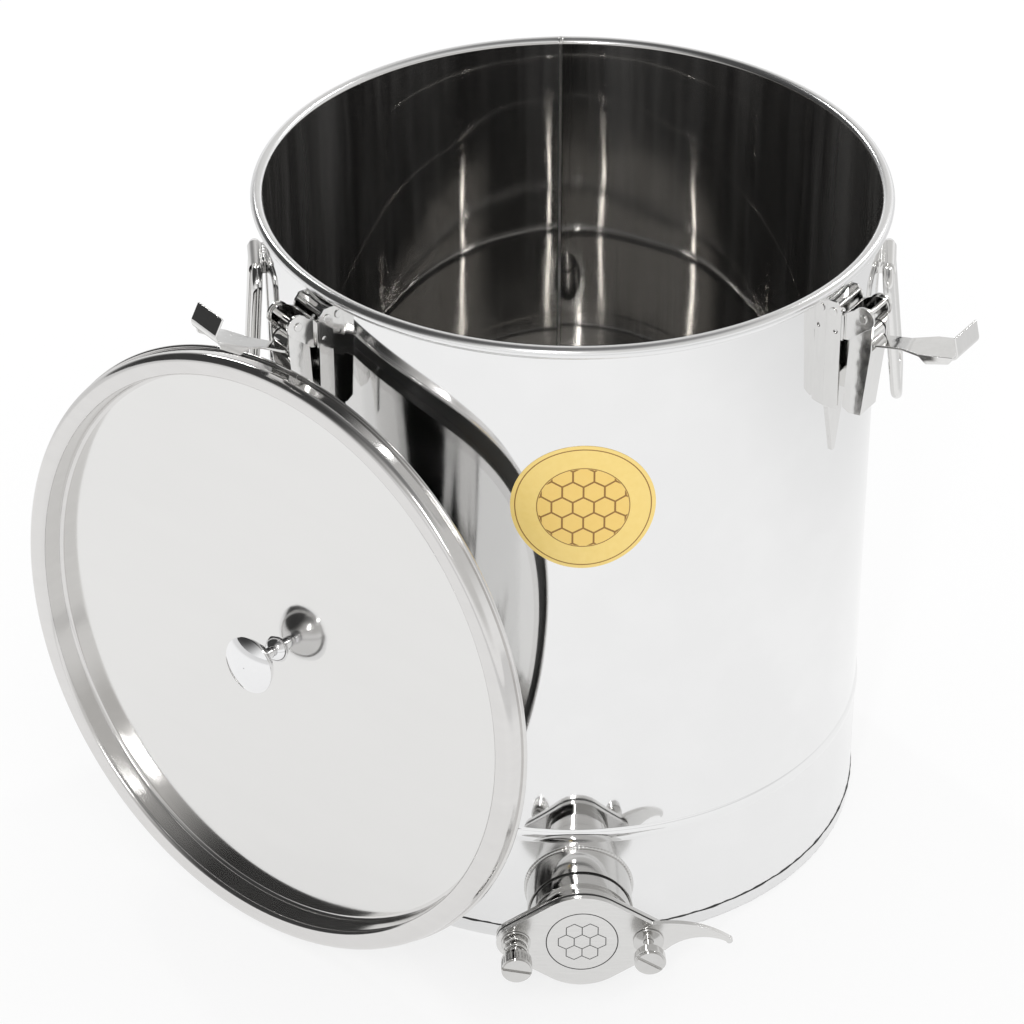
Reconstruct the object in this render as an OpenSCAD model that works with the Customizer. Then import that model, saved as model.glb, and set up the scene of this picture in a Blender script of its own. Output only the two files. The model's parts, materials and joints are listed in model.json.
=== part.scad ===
// Honey settling tank: a round steel tank with a leaning lid, two draw latches,
// two bail handles and a swing gate at the foot. Millimetres, +Z up.
// The tank axis is Z, the floor is Z = 0 and the gate looks along -Y.

/* [Tank] */
// outer diameter of the wall
tank_d = 380; // [360:1:400]
// height to the top of the rolled rim
tank_h = 446; // [438:1:456]
// thickness of the wall
wall_t = 1; // [0.8:0.1:1.5]
// diameter of the rolled rim
rim_d = 8; // [6:0.2:10]
// height of the flange of the bottom pan
foot_h = 11; // [9:0.5:11.5]
// thickness of the bottom pan
foot_t = 1.2; // [1:0.1:1.6]
// open seam between the bottom pan and the wall
seam_gap = 1.1; // [0.8:0.1:1.4]
// height of the middle of the swaged ring
swage_z = 87; // [86:1:120]
// height of the swaged ring
swage_h = 10; // [8:0.5:12]
// how far the swaged ring stands out
swage_out = 1.2; // [1:0.1:1.6]

/* [Gate] */
// height of the outlet axis
gate_z = 45; // [45:0.5:46]
// outer diameter of the pipe stub
collar_d = 66; // [60:0.5:66]
// length of the pipe stub outside the wall
collar_l = 23.5; // [20:0.5:30]
// diameter of the outlet passage
bore_d = 48; // [40:1:50]
// outer diameter of the threaded ring
ring_d = 64; // [58:0.5:66]
// length of the threaded ring
ring_l = 9; // [7:0.5:12]
// length of the neck behind the plate
neck_l = 9.3; // [7:0.1:12]
// thickness of the ring seal
seal_t = 1.4; // [1:0.1:2]
// thickness of the gate plate
plate_t = 3.2; // [2.5:0.1:4]
// thickness of the flat gasket
gasket_t = 1.6; // [1:0.1:2]
// thickness of the flap
flap_t = 3.2; // [2.5:0.1:4]
// radius of the round middle of the flap
flap_r = 34.5; // [32:0.5:36]
// radius of the ears around the screws
ear_r = 12; // [11:0.5:13]
// distance between the two screws
screw_gap = 82; // [78:0.5:84]
// diameter of the shank of the pivot screw
pivot_shank_d = 8; // [7:0.2:9]
// diameter of the head of the pivot screw
pivot_head_d = 19; // [18.6:0.2:20]
// thickness of the head of the pivot screw
pivot_head_l = 10; // [8:0.5:12]
// room for the spring under that head
spring_room = 17; // [15:0.5:20]
// outer diameter of the coil spring
spring_d = 16.6; // [15:0.2:17]
// wire diameter of the coil spring
wire_d = 2.2; // [1.8:0.1:2.4]
// number of curls of the spring
spring_turns = 2.25; // [2:0.25:2.5]
// diameter of the shank of the clamp screw
clamp_shank_d = 6; // [5:0.2:7]
// diameter of the head of the clamp screw
clamp_head_d = 19.6; // [18:0.2:21]
// thickness of the head of the clamp screw
clamp_head_l = 8; // [6:0.5:10]
// bare length of shank between washer and head
clamp_room = 12.3; // [10:0.1:14]

/* [Label] */
// diameter of the round label
label_d = 86; // [60:1:100]
// drop of the middle of the label below the rim top
label_drop = 112.5; // [90:0.5:140]
// thickness of the label
label_t = 0.4; // [0.2:0.1:0.6]

/* [Latches] */
// angle of each latch from the gate
latch_az = 54; // [52:0.5:57]
// height of the fulcrum pins under the rim top
fulcrum_drop = 20; // [18:0.5:22]
// distance of the fulcrum pins from the wall
fulcrum_out = 23; // [22.5:0.1:25]
// thickness of the latch sheet
latch_t = 1.5; // [1.2:0.1:1.6]
// outer width of the latch base
base_w = 26; // [26:0.5:30]
// how far the latch base stands out from the wall
base_out = 9.5; // [9:0.5:10]
// step in from the base to the yoke on each side
yoke_step = 2; // [1.5:0.1:2]
// radius of the pin across the latch base
brace_r = 1.3; // [1.1:0.1:1.6]
// radius of the two pins of the latch lever
pin_r = 1.7; // [1.5:0.1:1.9]
// length of the hook from its pin
hook_len = 66; // [60:0.5:68]
// width of the hook at its end
hook_w = 25; // [22:0.5:28]
// height of the tab at the end of the hook
hook_tab = 15; // [12:0.5:18]
// outer radius of the bend at the end of the hook
hook_bend = 5; // [4:0.5:6]
// angle of the right hook above level at rest
hook_rest_r = 13; // [8:1:16]
// angle of the left hook above level at rest
hook_rest_l = 29; // [24:1:32]

/* [Handles] */
// angle of each handle from the gate
handle_az = 84.5; // [82.5:0.5:86]
// turn of the pair of handles about the tank axis
handle_turn = -1.5; // [-2.5:0.5:0]
// height of the handle axis under the rim top
handle_drop = 43; // [39:0.5:47]
// distance of the handle axis from the wall
handle_out = 5.1; // [5:0.1:6]
// rod diameter of the handle
rod_d = 7; // [6:0.2:7.4]
// length of the sleeve
sleeve_l = 28; // [24:1:34]
// outer diameter of the sleeve
sleeve_d = 9.6; // [9.2:0.1:10]
// drop of the bottom bar below the handle axis
bail_drop = 87; // [80:1:92]
// bend radius of the handle rod
bail_bend = 9; // [8:0.5:12]
// lean of the left handle out of the vertical at rest
bail_lean_l = 4; // [3:0.1:8]
// lean of the right handle out of the vertical at rest
bail_lean_r = 6.5; // [3:0.1:8]

/* [Lid] */
// how much wider the lid is than the tank
lid_over = 21; // [20:0.5:24]
// height of the lid from skirt edge to crown
lid_h = 14; // [13:0.5:15]
// width of the crown channel
crown_w = 14; // [13:0.5:16]
// drop of the floor below the skirt edge
lid_drop = 2.5; // [2:0.5:4]
// sheet thickness of the lid
lid_t = 1; // [0.8:0.1:1.2]
// lean of the lid from the vertical
lid_lean = 4.6; // [4.4:0.1:5]
// direction that the lid faces, from the gate
lid_az = -40.5; // [-42:0.1:-39]
// sideways shift of the middle of the lid
lid_side = -49; // [-52:0.5:-46]
// height of the knob above the floor of the lid
knob_h = 30; // [26:0.5:34]
// diameter of the knob head
knob_d = 37; // [32:0.5:40]

/* [Clearances] */
// gap between faces that slide past each other
slide_gap = 0.3; // [0.3:0.05:0.5]
// radial gap of pins and shanks in their holes
pin_gap = 0.06; // [0.03:0.01:0.1]

/* [Hidden] */
$fn = 96;
tank_r = tank_d / 2;
wall_in = tank_r - wall_t;
rim_r = rim_d / 2;
rim_z = tank_h - rim_r;
collar_end = tank_r + collar_l;
seal_end = collar_end + seal_t;
ring_end = seal_end + ring_l;
neck_end = ring_end + neck_l;
plate_end = neck_end + plate_t;
gasket_end = plate_end + gasket_t;
flap_back = gasket_end + slide_gap;
flap_front = flap_back + flap_t;
washer_back = flap_front + slide_gap;
pivot_washer_t = 1.2;
pivot_head_back = flap_front + spring_room;
clamp_washer_t = 1.4;
clamp_head_back = washer_back + clamp_washer_t + clamp_room;
screw_x = screw_gap / 2;
pin2 = [tank_r + fulcrum_out, tank_h - fulcrum_drop];
pin1 = [tank_r + 3.8, pin2[1]];
pin3 = pin2 + [0.2, -14.8];
base_in = base_w / 2 - latch_t;
base_face = tank_r + base_out;
yoke_out = base_w / 2 - yoke_step;
lever_out = yoke_out - latch_t - slide_gap;
lever_top = [[-6, 0], [-8.8, -14]];
lever_tip = [[-12, -66], [-7.5, -68.6], [0.6, -67.6]];
lever_back = [[5.3, -22], [5.6, -5]];
handle_r = tank_r + handle_out;
handle_z = tank_h - handle_drop;
bail_half = sleeve_l / 2 + 1 + bail_bend;
lid_r = (tank_d + lid_over) / 2;
hem_r = 1.45;
skirt_r = lid_r - 1.9;
crown_in = skirt_r - crown_w;
bend_out = 3;
bend_in = 2.5;
floor_edge = 3;
label_z = tank_h - label_drop;
label_gap = 0.02;
// the lid leans on the left lever with the edge of its floor or with its skirt, whichever meets it first
lid_turn = latch_az + lid_az;
lever_slope = (lever_back[0][0] - lever_tip[2][0]) / (lever_back[0][1] - lever_tip[2][1]);
function lever_face(z) = pin2[0] + lever_back[0][0] + lever_slope * min(0, z - pin2[1] - lever_back[0][1]);
function lid_z(r, h) = (lid_r + r) * cos(lid_lean) + h * sin(lid_lean);
function lid_reach(r, h) = lever_face(lid_z(r, h)) * cos(lid_turn) + lever_out * sin(lid_turn) + slide_gap
    + r * sin(lid_lean) - h * cos(lid_lean);
lid_away = max(lid_reach(crown_in + lid_t, -lid_drop - lid_t), lid_reach(lid_r, 0));
knob_hole_r = 2.5;
knob_base_z = -lid_drop;

steel = [0.80, 0.81, 0.82];
dark = [0.08, 0.08, 0.08];

// a flat shape drawn as radius and height, thickened from x0 to x0 + w along the tangent
module side(x0, w) {
    translate([x0 + w, 0, 0]) rotate([90, 0, -90]) linear_extrude(w) children();
}

// a rod along the tangent through a point given as radius and height
module cross_rod(at, r, w) {
    translate([-w / 2, -at[0], at[1]]) rotate([0, 90, 0]) cylinder(r = r, h = w);
}

// a rod that points away from the gate, from depth y0 to depth y1 in front of the axis
module front_rod(x, z, r, y0, y1) {
    translate([x, -y0, z]) rotate([90, 0, 0]) cylinder(r = r, h = y1 - y0);
}

// everything inside the outer face of the wall
module tank_core(r) {
    translate([0, 0, -10]) cylinder(r = r, h = tank_h + 20, $fn = 180);
}

// Tank

module swage_ball(r) {
    swage_r = (swage_h * swage_h / 4 + swage_out * swage_out) / (2 * swage_out);
    translate([tank_r + swage_out - swage_r, swage_z]) circle(r = swage_r - r);
}

module rolled_rim() {
    translate([wall_in + rim_r, rim_z]) difference() {
        circle(r = rim_r);
        circle(r = rim_r - wall_t);
        polygon([[0, 0], [-3 * rim_r, -0.8 * rim_r], [-3 * rim_r, -4 * rim_r], [-1.6 * rim_r, -4 * rim_r]]);
    }
}

module shell_profile() {
    joggle = wall_t + foot_t + 0.2;
    difference() {
        union() {
            translate([wall_in, foot_h + seam_gap]) square([wall_t, rim_z - foot_h - seam_gap]);
            intersection() {
                swage_ball(0);
                translate([wall_in, 0]) square([20, tank_h]);
            }
        }
        swage_ball(wall_t);
    }
    translate([tank_r - joggle, foot_h + seam_gap]) square([joggle - wall_t / 2, wall_t]);
    translate([tank_r - joggle, 3.4]) square([wall_t, foot_h + seam_gap - 3]);
    rolled_rim();
}

module shell() color(steel) difference() {
    rotate_extrude($fn = 180) shell_profile();
    front_rod(0, gate_z, collar_d / 2 + 0.05, tank_r - 40, tank_r + 20);
}

module bottom_pan() color(steel) rotate_extrude($fn = 180) difference() {
    pan_bend = 3;
    union() {
        square([tank_r - pan_bend, pan_bend + 1]);
        translate([0, pan_bend]) square([tank_r, foot_h - pan_bend]);
        translate([tank_r - pan_bend, pan_bend]) circle(r = pan_bend, $fn = 32);
    }
    translate([0, pan_bend]) square([tank_r - foot_t, foot_h]);
    translate([0, foot_t]) square([tank_r - pan_bend, foot_h]);
    translate([tank_r - pan_bend, pan_bend]) circle(r = pan_bend - foot_t, $fn = 32);
}

module label() color([0.93, 0.72, 0.10]) intersection() {
    difference() {
        tank_core(tank_r + label_t);
        tank_core(tank_r + label_gap);
    }
    front_rod(0, label_z, label_d / 2, 0, tank_r + 20);
}

// Gate

// a flat shape seen from the front, thickened from depth y0 to depth y1
module plate(y0, y1) {
    translate([0, -y0, gate_z]) rotate([90, 0, 0]) linear_extrude(y1 - y0) children();
}

// a round middle and two round ears joined by straight edges that touch all three
module diamond(mid_r, end_r, y0, y1) {
    lean = asin((mid_r - end_r) / screw_x);
    mid = [mid_r * sin(lean), mid_r * cos(lean)];
    end = [screw_x + end_r * sin(lean), end_r * cos(lean)];
    union() {
        front_rod(0, gate_z, mid_r, y0, y1);
        for (s = [-1, 1]) front_rod(s * screw_x, gate_z, end_r, y0, y1);
        plate(y0, y1) polygon([[-mid[0], mid[1]], mid, end, [end[0], -end[1]], [mid[0], -mid[1]],
            [-mid[0], -mid[1]], [-end[0], -end[1]], [-end[0], end[1]]]);
    }
}

module outlet_collar() color(steel) difference() {
    front_rod(0, gate_z, collar_d / 2, tank_r - 30, collar_end);
    front_rod(0, gate_z, bore_d / 2, tank_r - 50, collar_end + 1);
    tank_core(wall_in - 0.5);
}

module gate_seal() color(dark) difference() {
    front_rod(0, gate_z, ring_d / 2 - 0.8, collar_end, seal_end);
    front_rod(0, gate_z, bore_d / 2 + 0.5, collar_end - 1, seal_end + 1);
}

module gate_body() color(steel) difference() {
    union() {
        front_rod(0, gate_z, ring_d / 2, seal_end, ring_end);
        front_rod(0, gate_z, ring_d / 2 - 2, ring_end, neck_end);
        diamond(flap_r, ear_r, neck_end, plate_end);
    }
    front_rod(0, gate_z, bore_d / 2, seal_end - 1, plate_end + 1);
    front_rod(-screw_x, gate_z, pivot_shank_d / 2 + pin_gap, neck_end - 1, plate_end + 1);
    front_rod(screw_x, gate_z, clamp_shank_d / 2 + pin_gap, neck_end - 1, plate_end + 1);
}

module gate_gasket() color(dark) difference() {
    diamond(flap_r - 0.7, ear_r - 0.7, plate_end, gasket_end);
    front_rod(0, gate_z, bore_d / 2, plate_end - 1, gasket_end + 1);
    front_rod(-screw_x, gate_z, pivot_shank_d / 2 + 0.2, plate_end - 1, gasket_end + 1);
    front_rod(screw_x, gate_z, clamp_shank_d / 2 + 0.2, plate_end - 1, gasket_end + 1);
}

// the curved grip: a broad arch with a hollow under it and a round tip
module flap_grip(y0, y1) {
    tip = [screw_x + 50.2, -1.3];
    tip_r = 2.1;
    plate(y0, y1) translate(tip) circle(r = tip_r);
    difference() {
        plate(y0, y1) translate([screw_x + 12.7, -49.6]) circle(r = 63.1);
        plate(y0 - 1, y1 + 1) translate([screw_x + 33.5, -28.7]) circle(r = 30.8);
        plate(y0 - 1, y1 + 1) translate([screw_x - 84, -120]) square([80, 160]);
        plate(y0 - 1, y1 + 1) translate([screw_x - 10, -120]) square([160, 112]);
        plate(y0 - 1, y1 + 1) translate([tip[0], -40]) square([60, 80]);
    }
}

module flap_slot(y0, y1) {
    half = clamp_shank_d / 2 + 0.6;
    front_rod(screw_x, gate_z, half, y0, y1);
    intersection() {
        difference() {
            front_rod(-screw_x, gate_z, screw_gap + half, y0, y1);
            front_rod(-screw_x, gate_z, screw_gap - half, y0 - 1, y1 + 1);
        }
        plate(y0, y1) translate([-screw_x, 0]) polygon([[0, 0], [2 * screw_gap, 0], [2 * screw_gap, -screw_gap]]);
    }
}

module gate_flap() color(steel) difference() {
    union() {
        diamond(flap_r, ear_r, flap_back, flap_front);
        flap_grip(flap_back, flap_front);
    }
    flap_slot(flap_back - 1, flap_front + 1);
    front_rod(-screw_x, gate_z, pivot_shank_d / 2 + pin_gap, flap_back - 1, flap_front + 1);
    difference() {
        front_rod(0, gate_z, 22.4, flap_front - 0.3, flap_front + 1);
        front_rod(0, gate_z, 21.9, flap_front - 1, flap_front + 2);
    }
}

module screw_slot(x, y, r, turn) {
    translate([x, -y, gate_z]) rotate([0, turn, 0]) cube([3 * r, 4, 2], center = true);
}

module pivot_screw() color(steel) {
    head_front = pivot_head_back + pivot_head_l;
    grooves = 30;
    difference() {
        union() {
            front_rod(-screw_x, gate_z, pivot_shank_d / 2, neck_end - 1, pivot_head_back + 1);
            front_rod(-screw_x, gate_z, pivot_head_d / 2, pivot_head_back, head_front - 1);
            front_rod(-screw_x, gate_z, pivot_head_d / 2 - 0.8, head_front - 1.5, head_front);
        }
        screw_slot(-screw_x, head_front, pivot_head_d / 2, 12);
        for (i = [0 : grooves - 1]) translate([-screw_x, 0, gate_z]) rotate([0, i * 360 / grooves, 0])
            front_rod(pivot_head_d / 2 + 0.25, 0, 0.6, pivot_head_back + 2, head_front - 2, $fn = 16);
    }
}

module pivot_washer() color(steel) difference() {
    front_rod(-screw_x, gate_z, spring_d / 2 + 0.8, washer_back, washer_back + pivot_washer_t);
    front_rod(-screw_x, gate_z, pivot_shank_d / 2 + pin_gap, washer_back - 1, washer_back + pivot_washer_t + 1);
}

// the wire runs straight out of the washer, curls round the shank and runs straight into the head
spring_y0 = washer_back + pivot_washer_t;
spring_len = pivot_head_back - spring_y0;
coil_r = (spring_d - wire_d) / 2;
spring_rings = 8 * spring_turns;
spring_rise = (spring_len - 3 * wire_d) / spring_rings;
spring_path = concat(
    [[coil_r, 0, 0], [coil_r, 0, wire_d]],
    [for (i = [0 : spring_rings]) [coil_r * cos(45 * (i + 0.5)), coil_r * sin(45 * (i + 0.5)),
        1.5 * wire_d + i * spring_rise]],
    [[coil_r * cos(45 * (spring_rings + 1)), coil_r * sin(45 * (spring_rings + 1)), spring_len - wire_d],
     [coil_r * cos(45 * (spring_rings + 1)), coil_r * sin(45 * (spring_rings + 1)), spring_len]]);
spring_gap = min([for (i = [0 : len(spring_path) - 1]) for (j = [i + 4 : 1 : len(spring_path) - 1])
    norm(spring_path[i] - spring_path[j]) - wire_d]);
echo(spring_gap = spring_gap);

function unit(v) = v / norm(v);
function path_dir(p, i) = unit(p[min(i + 1, len(p) - 1)] - p[max(i - 1, 0)]);
function ring_dir(p, i) = (i < 2) || (i > len(p) - 3) ? [0, 0, 1] : path_dir(p, i);
function ring_out(p, i) = unit(cross(ring_dir(p, i), cross([p[i][0], p[i][1], 0], ring_dir(p, i))));
function ring_points(p, i, r) = [for (k = [0 : 5]) p[i]
    + r * cos(60 * k) * ring_out(p, i)
    + r * sin(60 * k) * cross(ring_dir(p, i), ring_out(p, i))];

module wire(p, r) {
    last = 6 * (len(p) - 1);
    points = [for (i = [0 : len(p) - 1]) each ring_points(p, i, r)];
    walls = [for (i = [0 : len(p) - 2]) for (k = [0 : 5]) each [
        [6 * i + k, 6 * i + 6 + k, 6 * i + (k + 1) % 6],
        [6 * i + (k + 1) % 6, 6 * i + 6 + k, 6 * i + 6 + (k + 1) % 6]]];
    ends = [for (k = [1 : 4]) each [[0, k, k + 1], [last, last + k + 1, last + k]]];
    polyhedron(points, concat(walls, ends));
}

module pivot_spring() color(steel) translate([-screw_x, -spring_y0, gate_z]) rotate([90, 0, 0])
    wire(spring_path, wire_d / 2);

module clamp_screw() color(steel) {
    head_front = clamp_head_back + clamp_head_l;
    difference() {
        union() {
            front_rod(screw_x, gate_z, clamp_shank_d / 2, neck_end - 3, clamp_head_back + 1);
            front_rod(screw_x, gate_z, clamp_head_d / 2 - 0.7, clamp_head_back, head_front - 1);
            front_rod(screw_x, gate_z, clamp_head_d / 2, clamp_head_back + 1.4, head_front - 1.6);
            front_rod(screw_x, gate_z, clamp_head_d / 2 - 1.4, head_front - 2, head_front);
        }
        screw_slot(screw_x, head_front, clamp_head_d / 2, 33);
    }
}

module clamp_washer() color(steel) difference() {
    front_rod(screw_x, gate_z, clamp_head_d / 2 - 0.3, washer_back, washer_back + clamp_washer_t);
    front_rod(screw_x, gate_z, clamp_shank_d / 2 + pin_gap, washer_back - 1, washer_back + clamp_washer_t + 1);
}

// Latches, drawn at the gate side and then turned to their places

base_z0 = pin2[1] - 66.5;
tail_z = base_z0 - 38;

module base_side() {
    top = pin1[1] + 6.7;
    difference() {
        union() {
            translate([tank_r - 8, base_z0]) square([base_out + 8, pin1[1] - base_z0 + 1]);
            translate(pin1) circle(r = base_face - pin1[0]);
            polygon([[tank_r - 8, pin1[1]], [base_face, pin1[1]], [base_face, pin1[1] + 1], [pin1[0] + 2, top],
                [tank_r - 8, top]]);
        }
        translate(pin1) circle(r = brace_r);
        translate([tank_r + 6, pin1[1] - 13]) circle(r = 1.5, $fn = 24);
    }
}

module latch_base() color(steel) difference() {
    union() {
        for (x = [-base_w / 2, base_in]) side(x, latch_t) base_side();
        translate([-base_w / 2, -tank_r - latch_t, base_z0]) cube([base_w, 10, pin1[1] - base_z0]);
        translate([0, -tank_r - latch_t, 0]) rotate([90, 0, 180]) mirror([0, 0, 1]) mirror([1, 0, 0])
            translate([0, 0, -10]) linear_extrude(10)
            polygon([[-base_w / 2, base_z0 + 1], [-9, base_z0 - 4], [-1.5, tail_z], [1.5, tail_z], [9, base_z0 - 4],
                [base_w / 2, base_z0 + 1]]);
    }
    tank_core(tank_r);
}

module base_pin() color(steel) {
    cross_rod(pin1, brace_r, base_w + 1.6);
    for (s = [-1, 1]) translate([s * (base_w / 2 + 0.45), 0, 0]) cross_rod(pin1, brace_r + 1.3, 0.9);
}

module yoke_side() {
    difference() {
        union() {
            translate(pin2) circle(r = 7.4);
            polygon([[base_face, pin2[1] - 18], [base_face + 4, pin2[1] - 17.5], pin2 + [5, -5], pin2 + [0, 7.4],
                [base_face, pin2[1] - 0.5]]);
        }
        translate(pin2) circle(r = pin_r);
    }
}

// a front strip across the base with two ears for the fulcrum pin
module latch_yoke() color(steel) {
    for (x = [-yoke_out, yoke_out - latch_t]) side(x, latch_t) yoke_side();
    translate([-base_w / 2, -base_face - latch_t, pin2[1] - 18]) cube([base_w, latch_t, 17.5]);
}

module fulcrum_pin() color(steel) {
    cross_rod(pin2, pin_r - pin_gap, 2 * yoke_out + 1.6);
    for (s = [-1, 1]) translate([s * (yoke_out + 0.45), 0, 0]) cross_rod(pin2, pin_r + 1, 0.9);
}

module lever_outline() {
    translate(pin2) {
        circle(r = 6.2);
        polygon(concat(lever_top, lever_tip, lever_back));
    }
}

module lever_hollow() {
    shift = [-latch_t, 0];
    translate(pin2) polygon([[-30, -10], [-30, -80], lever_tip[1] + shift, lever_tip[2] + shift,
        lever_back[0] + shift, lever_back[0] + [shift[0], 0.01], [-30, -10]]);
}

module lever() color(steel) difference() {
    union() {
        for (x = [-lever_out, lever_out - latch_t]) side(x, latch_t) lever_outline();
        side(-lever_out, 2 * lever_out) difference() {
            translate(pin2) polygon(concat([[-8.8, -20]], lever_tip, [lever_back[0]]));
            lever_hollow();
        }
    }
    cross_rod(pin2, pin_r, base_w);
    cross_rod(pin3, pin_r - pin_gap, base_w);
}

module hook_pin() color(steel) cross_rod(pin3, pin_r - pin_gap, 2 * lever_out);

// the hook is drawn level with its pin at the origin and points along -Y
module hook_shape() {
    knuckle = 5.4;
    root = lever_out - latch_t - 0.7;
    root_end = 0.35 * hook_len;
    wide_at = 0.58 * hook_len;
    arm_end = hook_len - hook_bend;
    half = hook_w / 2;
    difference() {
        union() {
            side(-root, 2 * root) circle(r = knuckle);
            translate([0, 0, -knuckle]) linear_extrude(latch_t)
                polygon([[-root, 0], [-root, -root_end], [-half, -wide_at], [-half, -arm_end], [half, -arm_end],
                    [half, -wide_at], [root, -root_end], [root, 0]]);
            for (x = [-half, half - latch_t]) side(x, latch_t)
                polygon([[wide_at, -knuckle], [wide_at + 4, -knuckle - 4.5], [arm_end - 3, -knuckle - 3],
                    [arm_end, -knuckle], [arm_end, -knuckle + latch_t], [wide_at, -knuckle + latch_t]]);
            translate([0, -arm_end, hook_bend - knuckle]) side(-half, hook_w) bend_quarter();
            side(-half, hook_w) translate([hook_len - latch_t, hook_bend - knuckle])
                square([latch_t, hook_tab - hook_bend]);
        }
        cross_rod([0, 0], pin_r, 3 * root);
    }
}

module bend_quarter() {
    intersection() {
        difference() {
            circle(r = hook_bend, $fn = 48);
            circle(r = hook_bend - latch_t, $fn = 48);
        }
        translate([0, -hook_bend]) square(hook_bend);
    }
}

module hook(rest) color(steel) translate([0, -pin3[0], pin3[1]]) rotate([-rest, 0, 0]) hook_shape();

// Handles

module sleeve() color(steel) difference() {
    union() {
        cross_rod([handle_r, handle_z], sleeve_d / 2, sleeve_l);
        translate([2 - sleeve_l / 2, -handle_r, handle_z - 4]) cube([sleeve_l - 4, 20, 8]);
    }
    cross_rod([handle_r, handle_z], rod_d / 2 + pin_gap, sleeve_l + 2);
    tank_core(tank_r);
}

module rod_bend(x, z, turn) {
    translate([x, 0, z]) rotate([90, 0, 0]) rotate([0, 0, turn])
        rotate_extrude(angle = 90) translate([bail_bend, 0]) circle(r = rod_d / 2);
}

// the bail is drawn hanging with its top bar on the X axis
module bail_shape() {
    flat = bail_half - bail_bend;
    translate([-flat, 0, 0]) rotate([0, 90, 0]) cylinder(r = rod_d / 2, h = 2 * flat);
    translate([-flat, 0, -bail_drop]) rotate([0, 90, 0]) cylinder(r = rod_d / 2, h = 2 * flat);
    for (s = [-1, 1]) translate([s * bail_half, 0, bail_bend - bail_drop])
        cylinder(r = rod_d / 2, h = bail_drop - 2 * bail_bend);
    rod_bend(flat, -bail_bend, 0);
    rod_bend(-flat, -bail_bend, 90);
    rod_bend(-flat, bail_bend - bail_drop, 180);
    rod_bend(flat, bail_bend - bail_drop, 270);
}

module bail(lean) color(steel) translate([0, -handle_r, handle_z]) rotate([-lean, 0, 0]) bail_shape();

// Lid, drawn lying with its skirt edge on the plane Z = 0 and then leaned on the left latch

module lean_lid() {
    rotate([0, 0, lid_az]) translate([lid_side, -lid_away, lid_r * cos(lid_lean)])
        rotate([90 - lid_lean, 0, 0]) children();
}

module crown(t) {
    inner = crown_in + bend_in;
    outer = skirt_r - bend_out;
    translate([inner, -20]) square([outer - inner, lid_h - t + 20]);
    translate([crown_in + t, -20]) square([bend_in - t, lid_h - bend_in + 20]);
    translate([outer, -20]) square([bend_out - t, lid_h - bend_out + 20]);
    translate([inner, lid_h - bend_in]) circle(r = bend_in - t);
    translate([outer, lid_h - bend_out]) circle(r = bend_out - t);
}

module lid_rim_profile() {
    difference() {
        crown(0);
        crown(lid_t);
        translate([crown_in - 1, -40]) square([lid_t + 1, 40 - lid_drop]);
        translate([crown_in + lid_t, -40]) square([30, 40]);
    }
    translate([lid_r - hem_r, hem_r]) circle(r = hem_r, $fn = 32);
    difference() {
        translate([crown_in - floor_edge, -lid_drop - lid_t]) square([floor_edge + lid_t, lid_t + floor_edge]);
        translate([crown_in - floor_edge, floor_edge - lid_drop]) circle(r = floor_edge);
    }
}

module lid_rim() color(steel) lean_lid() rotate_extrude($fn = 180) lid_rim_profile();

module lid_floor() color(steel) lean_lid() difference() {
    translate([0, 0, -lid_drop - lid_t]) cylinder(r = crown_in - floor_edge, h = lid_t, $fn = 180);
    translate([0, 0, -20]) cylinder(r = knob_hole_r + pin_gap, h = 40, $fn = 48);
}

module lid_gasket() color(dark) lean_lid() rotate_extrude($fn = 180) intersection() {
    crown(lid_t);
    translate([0, 4]) square([lid_r, lid_h]);
}

module knob_profile() {
    head_z = knob_base_z + knob_h;
    edge_z = head_z - 5.2;
    bowl_r = knob_d / 2 + 1.5;
    bowl_z = edge_z + sqrt(bowl_r * bowl_r - knob_d * knob_d / 4);
    top_r = 42;
    intersection() {
        translate([0, knob_base_z - 2.5]) circle(r = 9);
        translate([0, knob_base_z]) square([20, 20]);
    }
    translate([0, knob_base_z]) square([3.6, edge_z - knob_base_z]);
    intersection() {
        translate([0, bowl_z]) circle(r = bowl_r);
        translate([0, knob_base_z]) square([30, edge_z - knob_base_z]);
    }
    intersection() {
        translate([0, head_z - top_r]) circle(r = top_r, $fn = 360);
        translate([0, edge_z]) square([knob_d / 2, 10]);
    }
}

module lid_knob() color(steel) lean_lid() difference() {
    rotate_extrude() intersection() {
        knob_profile();
        translate([0, -50]) square([50, 100]);
    }
    translate([0, 0, knob_base_z - 1]) cylinder(r = knob_hole_r, h = 13, $fn = 48);
}

module knob_washer() color(steel) lean_lid() difference() {
    translate([0, 0, -lid_drop - lid_t - 1.2]) cylinder(r = 8, h = 1.2);
    translate([0, 0, -lid_drop - lid_t - 2]) cylinder(r = knob_hole_r + pin_gap, h = 4, $fn = 48);
}

module knob_screw() color(steel) lean_lid() {
    translate([0, 0, -lid_drop - lid_t - 1.2 - 3]) cylinder(r = 4.5, h = 3);
    translate([0, 0, -lid_drop - lid_t - 2]) cylinder(r = knob_hole_r - pin_gap, h = 10, $fn = 48);
}

module at_left_latch() rotate([0, 0, -latch_az]) children();
module at_right_latch() rotate([0, 0, latch_az]) children();
module at_left_handle() rotate([0, 0, handle_turn - handle_az]) children();
module at_right_handle() rotate([0, 0, handle_turn + handle_az]) children();

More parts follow.
